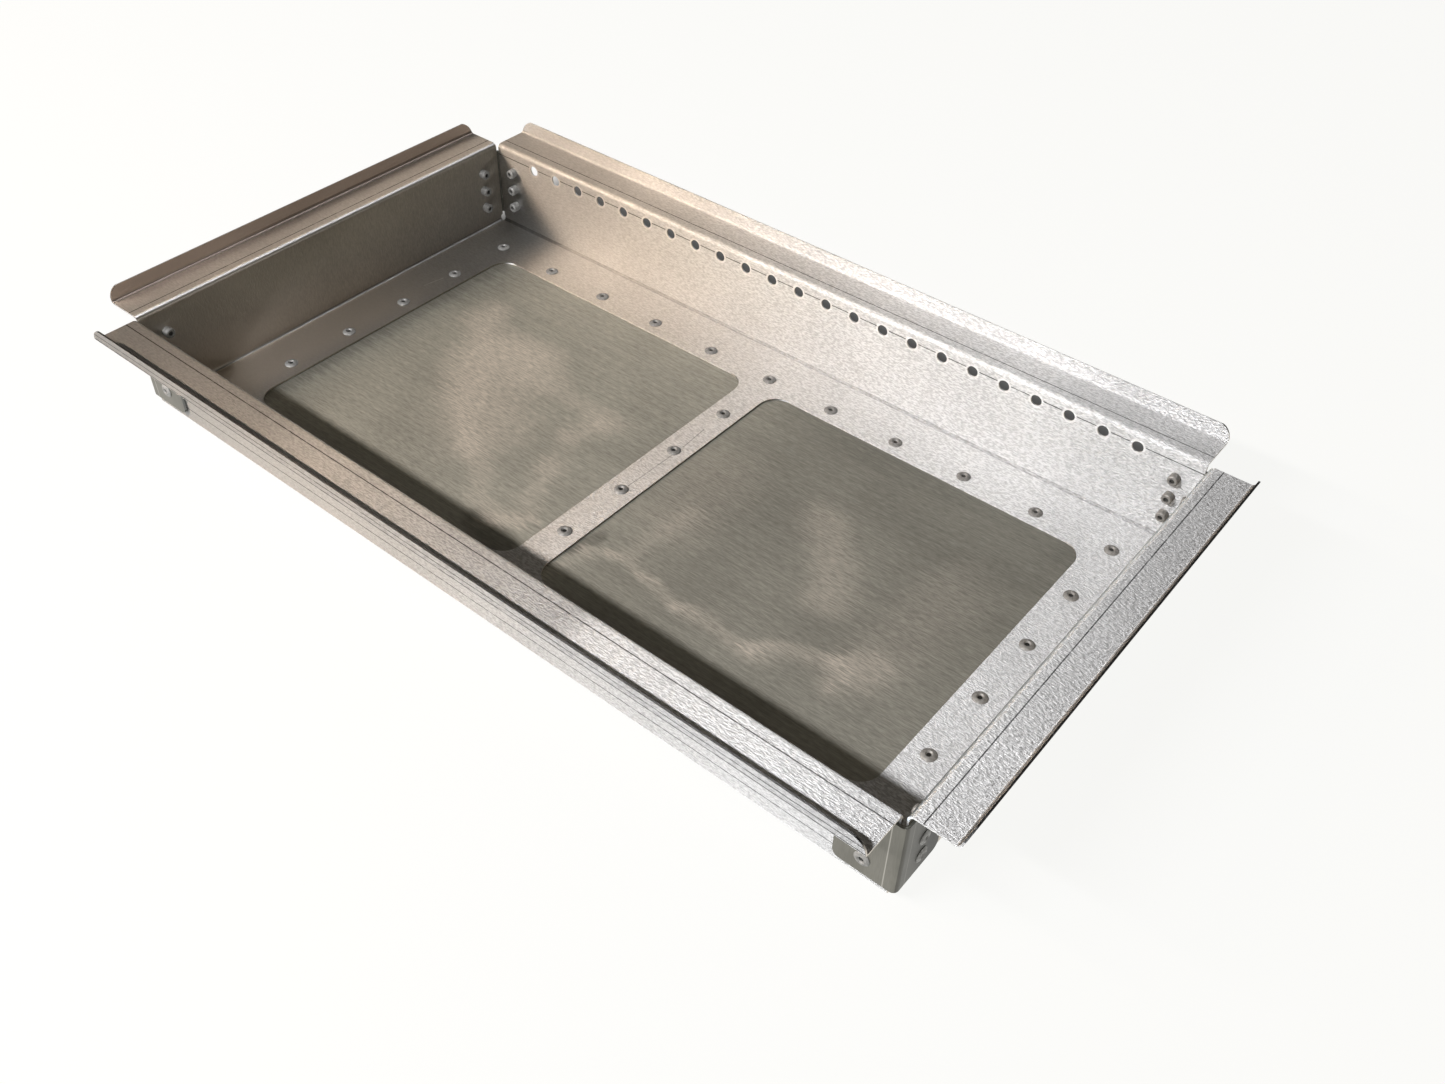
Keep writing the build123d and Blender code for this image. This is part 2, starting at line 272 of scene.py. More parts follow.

# Painted highlights on folds of slack cloth: (window, start, end, width, strength)
GLEAMS = (
    (-1, (0.19, 0.73), (0.46, 0.38), 0.022, 0.35),
    (-1, (0.46, 0.38), (0.88, 0.06), 0.012, 0.35),
    (-1, (0.22, 0.70), (0.52, 0.64), 0.022, 0.35),
    (-1, (0.40, 0.58), (0.56, 0.34), 0.045, 0.62),
    (-1, (0.60, 0.62), (0.80, 0.60), 0.016, 0.32),
    (-1, (0.84, 0.62), (0.78, 0.46), 0.016, 0.35),
    (-1, (0.78, 0.46), (0.84, 0.32), 0.013, 0.20),
    (-1, (0.84, 0.32), (0.93, 0.10), 0.012, 0.30),
    (-1, (0.93, 0.10), (0.88, 0.06), 0.012, 0.30),
    (1, (0.42, 0.65), (0.60, 0.45), 0.020, 0.40),
    (1, (0.10, 0.62), (0.12, 0.45), 0.040, 0.20),
    (1, (0.01, 0.05), (0.04, 0.15), 0.007, 0.25),
    (1, (0.04, 0.15), (0.10, 0.19), 0.008, 0.28),
    (1, (0.10, 0.19), (0.22, 0.20), 0.009, 0.32),
    (1, (0.22, 0.20), (0.34, 0.16), 0.010, 0.32),
    (1, (0.34, 0.16), (0.56, 0.19), 0.009, 0.35),
    (1, (0.56, 0.19), (0.75, 0.23), 0.010, 0.42),
    (1, (0.75, 0.23), (0.82, 0.32), 0.014, 0.38),
    (1, (0.80, 0.30), (0.82, 0.64), 0.030, 0.20),
    (1, (0.15, 0.46), (0.13, 0.24), 0.010, 0.25),
)
GLEAM_SWAY = 0.007
GLEAM_DRIFT = 0.009
GLEAM_LIMIT = 0.85
GLEAM_BY_DASH = (0.35, 0.65, 0.32, 0.88)


class Recipe:
    """One procedural material, built node by node, with the place and direction of the surface at hand."""

    def __init__(self, name):
        self.material = bpy.data.materials.new(name)
        self.material.use_nodes = True
        self.tree = self.material.node_tree
        self.tree.nodes.clear()
        self.shader = self.node("ShaderNodeBsdfPrincipled")
        output = self.node("ShaderNodeOutputMaterial")
        self.tree.links.new(self.shader.outputs["BSDF"], output.inputs["Surface"])
        self.place = self.node("ShaderNodeTexCoord").outputs["Object"]
        self.normal = self.node("ShaderNodeNewGeometry").outputs["Normal"]
        self.x, self.y, self.z = self.axes(self.place)
        self.turn_x, self.turn_y, self.turn_z = self.axes(self.normal)

    def node(self, kind, **settings):
        made = self.tree.nodes.new(kind)
        for key, value in settings.items():
            setattr(made, key, value)
        return made

    def feed(self, socket, value):
        """Links another node's output to the socket, or sets a constant on it."""
        if isinstance(value, bpy.types.NodeSocket):
            self.tree.links.new(value, socket)
        else:
            socket.default_value = value

    def math(self, operation, *values, clamp=False):
        made = self.node("ShaderNodeMath", operation=operation, use_clamp=clamp)
        for socket, value in zip(made.inputs, values):
            self.feed(socket, value)
        return made.outputs[0]

    def chain(self, operation, values):
        """The operation over all the values, from the first to the last."""
        result = values[0]
        for value in values[1:]:
            result = self.math(operation, result, value)
        return result

    def times(self, *values):
        return self.chain("MULTIPLY", values)

    def plus(self, *values):
        return self.chain("ADD", values)

    def minus(self, *values):
        return self.chain("SUBTRACT", values)

    def largest(self, *values):
        return self.chain("MAXIMUM", values)

    def size(self, value):
        return self.math("ABSOLUTE", value)

    def above(self, value, limit):
        return self.math("GREATER_THAN", value, limit)

    def below(self, value, limit):
        return self.math("LESS_THAN", value, limit)

    def vector(self, operation, *values):
        made = self.node("ShaderNodeVectorMath", operation=operation)
        for socket, value in zip(made.inputs, values):
            self.feed(socket, value)
        return made.outputs[0]

    def axes(self, vector):
        made = self.node("ShaderNodeSeparateXYZ")
        self.feed(made.inputs[0], vector)
        return made.outputs[0], made.outputs[1], made.outputs[2]

    def joined(self, x, y, z):
        made = self.node("ShaderNodeCombineXYZ")
        for socket, value in zip(made.inputs, (x, y, z)):
            self.feed(socket, value)
        return made.outputs[0]

    def noise(self, vector, scale=1.0, detail=2.0, roughness=0.5, distortion=0.0):
        made = self.node("ShaderNodeTexNoise")
        self.feed(made.inputs["Vector"], vector)
        made.inputs["Scale"].default_value = scale
        made.inputs["Detail"].default_value = detail
        made.inputs["Roughness"].default_value = roughness
        made.inputs["Distortion"].default_value = distortion
        return made.outputs[0]

    def flat_noise(self, x_scale, y_scale, **settings):
        """Noise in the plane of the floor, with its own scale along each axis."""
        place = self.joined(self.times(self.x, x_scale), self.times(self.y, y_scale), 0.0)
        return self.noise(place, **settings)

    def spread(self, value, low, high, new_low=0.0, new_high=1.0):
        """Smooth step of value from low..high to new_low..new_high."""
        made = self.node("ShaderNodeMapRange", interpolation_type="SMOOTHSTEP")
        for name, number in (
            ("Value", value),
            ("From Min", low),
            ("From Max", high),
            ("To Min", new_low),
            ("To Max", new_high),
        ):
            self.feed(made.inputs[name], number)
        return made.outputs[0]

    def near(self, value, target, half_width, fade):
        """1 where value is within half_width of target, fading to 0."""
        return self.spread(self.size(self.minus(value, target)), half_width + fade, half_width)

    def mix(self, amount, first, second, blend="MIX"):
        made = self.node("ShaderNodeMix", data_type="RGBA", blend_type=blend)
        self.feed(made.inputs["Factor"], amount)
        self.feed(made.inputs["A"], self.colour(first))
        self.feed(made.inputs["B"], self.colour(second))
        return made.outputs["Result"]

    def colour(self, value):
        return (*value, 1.0) if isinstance(value, tuple) and len(value) == 3 else value

    def cover(self, base, mask, colour, share):
        """The base colour, with a share of another colour over it where the mask is 1."""
        return self.mix(self.times(mask, share), base, colour)

    def shaded(self, base, tone):
        """The base colour, darker or lighter by the tone."""
        return self.mix(1.0, base, self.joined(tone, tone, tone), "MULTIPLY")

    def toned(self, tone, mask, share):
        """The tone, times the share where the mask is 1."""
        return self.times(tone, self.spread(mask, 0.0, 1.0, 1.0, share))

    def without(self, tone, loss):
        """The tone, less a share of itself."""
        return self.times(tone, self.minus(1.0, loss))

    def bump(self, height, distance, strength=1.0):
        made = self.node("ShaderNodeBump")
        self.feed(made.inputs["Height"], height)
        made.inputs["Distance"].default_value = distance
        made.inputs["Strength"].default_value = strength
        return made.outputs[0]

    def grain_tangent(self):
        """Direction across a grain that runs along X, and up the end walls."""
        across = self.vector("CROSS_PRODUCT", self.normal, (1.0, 0.0, 0.0))
        return self.vector("ADD", across, TANGENT_PUSH)

    def set(self, **values):
        for name, value in values.items():
            self.feed(self.shader.inputs[name.replace("_", " ")], value)
        return self.material


def grain_height(recipe, along, across):
    """Noise stretched along X, and up the end walls, as the sheet's rolled grain runs."""
    end_wall = recipe.spread(recipe.size(recipe.turn_x), *FACING_END_GRAIN)
    x_scale = recipe.spread(end_wall, 0.0, 1.0, along, across)
    z_scale = recipe.spread(end_wall, 0.0, 1.0, across, along)
    stretched = recipe.vector("MULTIPLY", recipe.place, recipe.joined(x_scale, across, z_scale))
    return recipe.noise(stretched, detail=2.5, roughness=0.6)


def stroke(recipe, x, y, start, end, width):
    """1 along a straight stroke from start to end in XY, fading to 0 at width to either side."""
    run_x, run_y = end[0] - start[0], end[1] - start[1]
    square = run_x * run_x + run_y * run_y
    from_x = recipe.minus(x, start[0])
    from_y = recipe.minus(y, start[1])
    along_x = recipe.times(from_x, run_x / square)
    along_y = recipe.times(from_y, run_y / square)
    along = recipe.math("ADD", along_x, along_y, clamp=True)
    off_x = recipe.minus(from_x, recipe.times(along, run_x))
    off_y = recipe.minus(from_y, recipe.times(along, run_y))
    gap = recipe.math("SQRT", recipe.plus(recipe.math("POWER", off_x, 2.0), recipe.math("POWER", off_y, 2.0)))
    return recipe.spread(gap, width, width * STROKE_CORE)


def hole_reach(recipe):
    """Distance to the middle of the nearest bolt hole, in the plane of the long walls."""
    from_middle = recipe.minus(recipe.x, HOLE_OFFSET)
    turns = recipe.math("DIVIDE", from_middle, HOLE_PITCH)
    across = recipe.times(recipe.minus(turns, recipe.math("ROUND", turns)), HOLE_PITCH)
    up = recipe.minus(recipe.z, HOLE_LEVEL)
    square = recipe.plus(recipe.math("POWER", across, 2.0), recipe.math("POWER", up, 2.0))
    beyond = recipe.above(recipe.size(from_middle), HOLE_ROW_REACH)
    return recipe.plus(recipe.math("SQRT", square), beyond)


def outward(recipe):
    """1 on the outside of the walls and lips."""
    sides = []
    for place, turn, wall in (
        (recipe.x, recipe.turn_x, HALF_LENGTH),
        (recipe.y, recipe.turn_y, HALF_WIDTH),
    ):
        turn_out = recipe.times(turn, recipe.math("SIGN", place))
        past = recipe.above(recipe.size(place), wall + OUTSIDE_START)
        sides.append(recipe.times(past, recipe.spread(turn_out, *FACING_OUT)))
    return recipe.largest(*sides)


def die_marks(recipe):
    """Thin dark lines that the bending tools left beside the folds."""
    def line(value, target):
        return recipe.near(value, target, MARK_HALF_WIDTH, MARK_HALF_WIDTH)

    side_x, side_y = recipe.size(recipe.x), recipe.size(recipe.y)
    along_flange = recipe.largest(
        line(side_y, HALF_WIDTH + FLANGE_MARK),
        line(side_x, HALF_LENGTH + FLANGE_MARK),
    )
    flange = recipe.times(line(recipe.z, FLANGE_TOP), along_flange)
    clear = recipe.spread(hole_reach(recipe), *(HOLE_RADIUS + reach for reach in MARK_CLEAR_OF_HOLES))
    inner = recipe.times(line(side_y, HALF_WIDTH), line(recipe.z, INNER_WALL_MARK), clear)
    outer_lines = recipe.largest(*(line(recipe.z, level) for level in (OUTER_WALL_MARK, *LIP_MARKS)))
    outer = recipe.times(outward(recipe), outer_lines, OUTER_MARK_SHARE)
    worn = recipe.noise(recipe.place, scale=180.0)
    return recipe.times(recipe.largest(flange, inner, outer), recipe.spread(worn, *MARK_WEAR))


def cut_edges(recipe):
    """1 on the bare cut edges of the lips, weaker on those at the rear and on the left."""
    edges = []
    for place, turn, wall in (
        (recipe.y, recipe.turn_y, HALF_WIDTH),
        (recipe.x, recipe.turn_x, HALF_LENGTH),
    ):
        lip = recipe.above(recipe.size(place), wall + LIP_START)
        edges.append(recipe.times(lip, recipe.spread(recipe.size(turn), *FACING_ASIDE)))
    near_side = recipe.largest(recipe.below(recipe.y, -HALF_WIDTH), recipe.above(recipe.x, HALF_LENGTH))
    return recipe.times(
        recipe.largest(*edges),
        recipe.spread(recipe.z, LIP_BEND_TOP, LIP_BEND_TOP + LIP_EDGE_FADE),
        recipe.spread(near_side, 0.0, 1.0, HIDDEN_EDGE_SHARE, 1.0),
    )


def painted_bend_shade(recipe):
    """1 on the rounded bends at the floor's left, right and rear, and below the lips of the end flanges,
    where shade is painted.
    """
    side_x = recipe.size(recipe.x)
    past_wall = recipe.largest(
        recipe.above(side_x, HALF_LENGTH - FLOOR_BEND_START),
        recipe.above(recipe.y, HALF_WIDTH - FLOOR_BEND_START),
    )
    at_wall = recipe.times(recipe.spread(recipe.z, *FLOOR_BEND_HEIGHTS), past_wall)
    at_bend = recipe.largest(at_wall, recipe.spread(side_x, *END_LIP_BEND))
    oblique = recipe.times(recipe.spread(recipe.turn_z, *LEANING), recipe.spread(recipe.turn_z, *NOT_UPRIGHT))
    return recipe.times(at_bend, oblique)


def front_flange_shade(recipe):
    """Share of light that painted shade takes from the top of the front flange."""
    patch = recipe.times(recipe.spread(recipe.x, *FRONT_PATCH), recipe.spread(recipe.x, *FRONT_PATCH_WEAKENS))
    patch = recipe.plus(patch, recipe.spread(recipe.x, *FRONT_LEFT_END))
    facing_up = recipe.spread(recipe.turn_z, *FLANGE_FACING_UP)
    return recipe.times(recipe.below(recipe.y, -HALF_WIDTH), facing_up, patch)


def flange_painted_shade(recipe):
    """1 on the rear part of the right flange and on both ends of the rear flange, where shade is painted."""
    right = recipe.above(recipe.x, HALF_LENGTH + FLANGE_SHADE_START)
    rear = recipe.above(recipe.y, HALF_WIDTH + FLANGE_SHADE_START)
    return recipe.largest(
        recipe.times(right, recipe.spread(recipe.y, *RIGHT_FLANGE_SHADE)),
        recipe.times(rear, recipe.spread(recipe.size(recipe.x), *REAR_FLANGE_SHADE)),
    )


def scratches(recipe, strokes):
    """1 on thin scratches in the floor."""
    marks = [stroke(recipe, recipe.x, recipe.y, start, end, SCRATCH_WIDTH) for start, end in strokes]
    return recipe.times(recipe.largest(*marks), recipe.below(recipe.z, SCRATCH_TOP))


def zinc_tone(recipe, grain):
    """Brightness of the zinc: grain, clouds, tool marks, painted shade on the outer faces, the bends and the
    flanges, bare edges and scratches.
    """
    clouds = recipe.noise(recipe.place, scale=14.0)
    tone = recipe.times(
        recipe.spread(grain, *GRAIN_TONE),
        recipe.spread(clouds, *NOISE, 0.95, 1.04),
    )
    tone = recipe.toned(tone, die_marks(recipe), MARK_TONE)
    # Painted shade on the outer faces of the walls and lips
    outside = recipe.times(outward(recipe), recipe.spread(recipe.z, *OUTER_FACE_SHADE))
    tone = recipe.without(tone, outside)
    tone = recipe.toned(tone, cut_edges(recipe), BARE_EDGE_TONE)
    # Painted shade in the bends
    tone = recipe.toned(tone, painted_bend_shade(recipe), BEND_SHADE_TONE)
    # Painted shade on the front flange
    tone = recipe.without(tone, front_flange_shade(recipe))
    # Painted shade on the right and rear flanges
    tone = recipe.toned(tone, flange_painted_shade(recipe), FLANGE_SHADE_TONE)
    tone = recipe.toned(tone, scratches(recipe, BAR_SCRATCHES), BAR_SCRATCH_TONE)
    return recipe.toned(tone, scratches(recipe, (CORNER_SCRATCH,)), CORNER_SCRATCH_TONE)


def painted_light_border(recipe, base):
    """The base colour, with painted light on the left border of the floor."""
    # Painted light on the left border
    painted_light = recipe.times(
        recipe.spread(recipe.x, *BORDER_LIGHT_X),
        recipe.spread(recipe.y, *BORDER_LIGHT_Y),
        recipe.spread(recipe.turn_z, *FACING_UP),
        recipe.below(recipe.z, BORDER_LIGHT_HEIGHT),
    )
    return recipe.cover(base, painted_light, PAINTED_LIGHT_SHEET, BORDER_LIGHT_SHARE)


def end_wall_colour(recipe, base):
    """The base colour, with painted shade on the end walls, darker and browner, painted light on them towards
    the front, and painted light on the left lip, which is greyer.
    """
    end_wall = recipe.spread(recipe.size(recipe.turn_x), *FACING_END)
    # Painted shade on the end walls
    base = recipe.mix(end_wall, base, recipe.mix(1.0, base, END_WALL_SHADE_TINT, "MULTIPLY"))
    # Painted light on the end walls towards the front
    base = recipe.mix(recipe.times(end_wall, recipe.spread(recipe.y, *END_WALL_FRONT_LIGHT)), base, PAINTED_LIGHT_SHEET)
    # Painted light on the left lip
    left_lip = recipe.times(end_wall, recipe.below(recipe.x, -HALF_LENGTH - LIP_START))
    return recipe.cover(base, left_lip, *LEFT_LIP)


def left_bend_colour(recipe, base):
    """The base colour, with the bend below the left lip browner."""
    tint, share = LEFT_BEND
    bend = recipe.times(
        recipe.spread(recipe.x, *LEFT_BEND_X),
        recipe.spread(recipe.turn_z, *LEFT_BEND_LEANING),
        recipe.above(recipe.turn_z, 0.0),
    )
    return recipe.cover(base, bend, recipe.mix(1.0, base, tint, "MULTIPLY"), share)


def right_bend_colour(recipe, base):
    """The base colour, with a painted highlight, bright and cool, on the bend at the top of the right wall.
    """
    past_wall, half_width, fade = RIGHT_BEND_X
    bend = recipe.times(
        recipe.spread(recipe.z, *RIGHT_BEND_Z),
        recipe.near(recipe.x, HALF_LENGTH + past_wall, half_width, fade),
        recipe.spread(recipe.turn_z, *RIGHT_BEND_LEANING),
    )
    return recipe.cover(base, bend, *RIGHT_BEND)


def ringed_holes(recipe, base):
    """The base colour, with a burnished ring round each bolt hole on the inner faces of the long walls."""
    on_wall = recipe.near(recipe.size(recipe.y), HALF_WIDTH, MARK_HALF_WIDTH, MARK_HALF_WIDTH)
    ring = recipe.spread(hole_reach(recipe), *(HOLE_RADIUS + reach for reach in HOLE_RING_REACH))
    return recipe.cover(base, recipe.times(on_wall, ring), *HOLE_RING)


def zinc_sheet():
    """Bright zinc-coated sheet with a fine rolled grain whose painted sparkle is fainter on the left, marks
    of tools and use, and painted light and shade.
    """
    recipe = Recipe("zinc_sheet")
    # Painted sparkle: the grain's contrast grows from the dim left end to the right
    contrast = recipe.spread(recipe.x, *GRAIN_REACH, *GRAIN_CONTRAST)
    grain = recipe.times(recipe.minus(grain_height(recipe, *ZINC_GRAIN), NOISE_MIDDLE), contrast)
    grain = recipe.plus(grain, NOISE_MIDDLE)
    base = recipe.shaded(ZINC_COLOUR, zinc_tone(recipe, grain))
    for change in (painted_light_border, end_wall_colour, left_bend_colour, right_bend_colour, ringed_holes):
        base = change(recipe, base)
    return recipe.set(
        Base_Color=base,
        Metallic=1.0,
        Roughness=recipe.spread(grain, *NOISE, 0.47, 0.40),
        Anisotropic=0.98,
        Tangent=recipe.grain_tangent(),
        Normal=recipe.bump(grain, 0.0008, 0.65),
    )


def retainer_sheet():
    """The same sheet under the tray, duller."""
    recipe = Recipe("retainer_sheet")
    grain = grain_height(recipe, *RETAINER_GRAIN)
    return recipe.set(
        Base_Color=recipe.shaded(RETAINER_COLOUR, recipe.spread(grain, *RETAINER_TONE)),
        Metallic=1.0,
        Roughness=0.5,
        Anisotropic=0.6,
        Tangent=recipe.grain_tangent(),
        Normal=recipe.bump(grain, 0.0003, 0.3),
    )


def window_point(side, right, up):
    """A point in the left (-1) or right (1) window, as fractions of it from its lower left corner."""
    low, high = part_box("screen_retainer_frame")
    length = high.x - WINDOW_BORDER - HALF_BAR
    start = HALF_BAR if side > 0 else -HALF_BAR - length
    return start + right * length, low.y + WINDOW_BORDER + up * (high.y - low.y - 2 * WINDOW_BORDER)


def window_stroke(recipe, x, y, side, start, end, width):
    """A stroke between two points of a window."""
    return stroke(recipe, x, y, window_point(side, *start), window_point(side, *end), width)


def cloth_gleams(recipe):
    """Painted highlights on folds of slack cloth: a three-sided one on the left, an arc on the right, both
    frayed along X.
    """
    fine = recipe.flat_noise(25.0, 700.0)
    x = recipe.plus(recipe.x, recipe.spread(fine, *WIDE_NOISE, -GLEAM_SWAY, GLEAM_SWAY))
    drift = recipe.noise(recipe.place, scale=22.0, detail=1.0)
    y = recipe.plus(recipe.y, recipe.spread(drift, *WIDE_NOISE, -GLEAM_DRIFT, GLEAM_DRIFT))
    folds = [recipe.times(window_stroke(recipe, x, y, *fold), strength) for *fold, strength in GLEAMS]
    return recipe.math("MINIMUM", recipe.plus(*folds), GLEAM_LIMIT)


def painted_cloth_shade(recipe):
    """Share of light that painted shade takes from the cloth near its rear, mostly on the right, and near its
    front.
    """
    rear = recipe.times(recipe.spread(recipe.y, *REAR_CLOTH_Y), recipe.spread(recipe.x, *REAR_CLOTH_X))
    right = recipe.times(recipe.spread(recipe.x, *RIGHT_CLOTH_X), recipe.spread(recipe.y, *RIGHT_CLOTH_Y))
    front = recipe.spread(recipe.y, *FRONT_CLOTH_Y)
    return recipe.plus(recipe.times(rear, REAR_CLOTH_SHADE), right, front)


def wire_cloth():
    """Very fine woven stainless cloth: short dashes along X, greenish grey with painted beige highlights and
    painted light and shade.
    """
    recipe = Recipe("wire_cloth")
    dashes = recipe.flat_noise(170.0, 1500.0, detail=3.0, roughness=0.6)
    streaks = recipe.flat_noise(16.0, 500.0)
    clouds = recipe.noise(recipe.place, scale=13.0, distortion=0.4)
    # Painted light: the cloth is brighter on the left
    tone = recipe.times(
        recipe.spread(dashes, *NOISE, 0.82, 1.18),
        recipe.spread(streaks, *NOISE, 0.92, 1.08),
        recipe.spread(clouds, *NOISE, 0.92, 1.08),
        recipe.spread(recipe.x, *LEFT_CLOTH),
    )
    # Painted shade near the cloth's rear, right and front
    tone = recipe.without(tone, painted_cloth_shade(recipe))
    ragged = recipe.plus(recipe.x, recipe.spread(streaks, *WIDE_NOISE, *RAGGED))
    # Painted shade at the left end, where the cloth curves down to its clamp
    tone = recipe.times(tone, recipe.spread(ragged, *LEFT_END))
    # Dark strokes on the cloth
    dark_strokes = recipe.largest(*(window_stroke(recipe, recipe.x, recipe.y, *dark_stroke) for dark_stroke in DARK_STROKES))
    tone = recipe.toned(tone, dark_strokes, DARK_STROKE_TONE)
    # Painted highlights on folds of the cloth
    gleams = recipe.times(cloth_gleams(recipe), recipe.spread(dashes, *GLEAM_BY_DASH))
    return recipe.set(
        Base_Color=recipe.mix(gleams, recipe.shaded(CLOTH_COLOUR, tone), CLOTH_GLEAM),
        Metallic=0.9,
        Roughness=0.55,
        Anisotropic=0.5,
        Tangent=recipe.grain_tangent(),
        Normal=recipe.bump(dashes, 0.0002, 0.3),
    )


def bracket_sheet():
    """Smooth satin steel of the corner brackets: olive grey, with painted shade on the end legs, a painted
    highlight at the bend and painted light on the cut edges of the front legs.
    """
    recipe = Recipe("bracket_sheet")
    fine = recipe.noise(recipe.vector("MULTIPLY", recipe.place, (1500.0, 1500.0, 120.0)))
    clouds = recipe.noise(recipe.place, scale=60.0)
    tone = recipe.times(recipe.spread(fine, *NOISE, 0.95, 1.05), recipe.spread(clouds, *NOISE, 0.9, 1.08))
    base = recipe.shaded(BRACKET_COLOUR, tone)
    side_x, side_y = recipe.size(recipe.x), recipe.size(recipe.y)
    turn_end = recipe.size(recipe.turn_x)
    facing_end = recipe.above(turn_end, BRACKET_END_FACING)
    # Painted shade on the end legs
    shade = recipe.times(facing_end, recipe.spread(side_y, *BRACKET_END_SHADE))
    base = recipe.shaded(base, recipe.minus(1.0, shade))
    # Painted highlight beside the bend
    front_line = recipe.near(side_x, BRACKET_BEND[0], *BRACKET_LINE)
    end_line = recipe.times(recipe.near(side_y, BRACKET_BEND[1], *BRACKET_LINE), BRACKET_END_LINE_SHARE)
    bend_line = recipe.spread(facing_end, 0.0, 1.0, front_line, end_line)
    base = recipe.cover(base, bend_line, BRACKET_LINE_COLOUR, BRACKET_LINE_SHARE)
    # Painted light on the cut edges of the front legs
    edge = recipe.times(recipe.above(turn_end, BRACKET_EDGE_FACING), recipe.above(side_y, BRACKET_EDGE_START))
    return recipe.set(
        Base_Color=recipe.cover(base, edge, BRACKET_EDGE_COLOUR, BRACKET_EDGE_SHARE),
        Metallic=1.0,
        Roughness=0.45,
        Anisotropic=0.3,
        Tangent=recipe.grain_tangent(),
        Normal=recipe.bump(fine, 0.0001, 0.2),
    )


def rivet_metal(name, colour, roughness, metallic):
    """Satin metal with a little tarnish, for rivet bodies and mandrels."""
    recipe = Recipe(name)
    tarnish = recipe.noise(recipe.place, scale=700.0, detail=3.0)
    return recipe.set(
        Base_Color=recipe.shaded(colour, recipe.spread(tarnish, *NOISE, 0.78, 1.15)),
        Metallic=metallic,
        Roughness=recipe.spread(tarnish, *NOISE, roughness + 0.08, roughness - 0.05),
        Normal=recipe.bump(tarnish, 0.0001, 0.3),
    )


def paint(node, material):
    """Gives every material slot of a CAD node one material."""
    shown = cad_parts[node]
    if not shown.material_slots:
        shown.data.materials.append(None)
    for place in shown.material_slots:
        place.link = "OBJECT"
        place.material = material


def paint_all():
    """Gives each CAD node that carries over its material."""
    zinc = zinc_sheet()
    retainer = retainer_sheet()
    bracket = bracket_sheet()
    rivet = rivet_metal("rivet_body", *RIVET_BODY)
    mandrel = rivet_metal("rivet_mandrel", *RIVET_MANDREL)
    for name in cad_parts:
        if name == "tray_pan":
            paint(name, zinc)
        elif name == "screen_retainer_frame":
            paint(name, retainer)
        elif name.startswith("corner_bracket"):
            paint(name, bracket)
        elif "mandrels" in name:
            paint(name, mandrel)
        elif "rivets" in name:
            paint(name, rivet)


def rivet_centres():
    """Middles of the screen rivets, read from the loose parts of their CAD nodes."""
    centres = []
    for name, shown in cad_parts.items():
        if name.startswith("screen_rivets"):
            centres += loose_centres(shown.data)
    return centres


def loose_centres(mesh):
    """XY middle of each connected piece of a mesh."""
    work = bmesh.new()
    work.from_mesh(mesh)
    bmesh.ops.remove_doubles(work, verts=work.verts, dist=1e-6)
    left = set(work.verts)
    centres = []
    while left:
        stack = [left.pop()]
        piece = []
        while stack:
            vert = stack.pop()
            piece.append(vert.co.copy())
            for edge in vert.link_edges:
                other = edge.other_vert(vert)
                if other in left:
                    left.remove(other)
                    stack.append(other)
        xs = [co.x for co in piece]
        ys = [co.y for co in piece]
        centres.append(((min(xs) + max(xs)) / 2, (min(ys) + max(ys)) / 2))
    work.free()
    return centres


def billow(x, y, half_length, half_width):
    """Height of the cloth above its rest level: slack in the windows, none where it is clamped."""
    from_edges = (0.5 - abs(abs(x) / half_length - 0.5), 1 - abs(y) / half_width)
    slack = 1.0
    for from_edge, flat, rise in zip(from_edges, FLAT_SHARE, RISE_SHARE):
        slack *= math.sin(min(1.0, max(0.0, (from_edge - flat) / rise)) * math.pi / 2)
    wave = sum(height * math.sin(by_x * x + by_y * y + phase) for by_x, by_y, phase, height in WAVES)
    return slack * CLOTH_BILLOW * wave / sum(height for *_, height in WAVES)


def wire_cloth_piece():
    """The cloth as one thin sheet: flat where it is clamped, gently uneven in the windows."""
    low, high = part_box("screen_cloth")
    length, width = high.x - low.x, high.y - low.y
    middle = (low.z + high.z) / 2
    columns, rows = round(length / CLOTH_CELL), round(width / CLOTH_CELL)
    work = bmesh.new()
    bmesh.ops.create_grid(work, x_segments=columns, y_segments=rows, size=0.5)
    for vert in work.verts:
        x, y = vert.co.x * length, vert.co.y * width
        vert.co = (x, y, middle + billow(x, y, length / 2, width / 2))
    piece = linked_mesh(work, "wire_cloth", "wire_cloth_sheet")
    thicken = piece.modifiers.new("thickness", "SOLIDIFY")
    thicken.thickness = CLOTH_THICKNESS
    thicken.offset = 0.0
    apply_modifiers(piece)
    punch_rivet_holes(piece, middle)
    for face in piece.data.polygons:
        face.use_smooth = abs(face.normal.z) > 0.9
    piece.data.materials.append(wire_cloth())
    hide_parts("screen_cloth")
    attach(piece, "root")


def linked_mesh(work, mesh_name, name):
    """A new object in the scene from a finished bmesh, which it frees."""
    mesh = bpy.data.meshes.new(mesh_name)
    work.to_mesh(mesh)
    work.free()
    made = bpy.data.objects.new(name, mesh)
    bpy.context.collection.objects.link(made)
    return made


def apply_modifiers(piece):
    """Replaces the piece's mesh with what its modifiers make of it."""
    shape = bpy.data.meshes.new_from_object(piece.evaluated_get(bpy.context.evaluated_depsgraph_get()))
    piece.modifiers.clear()
    piece.data = shape


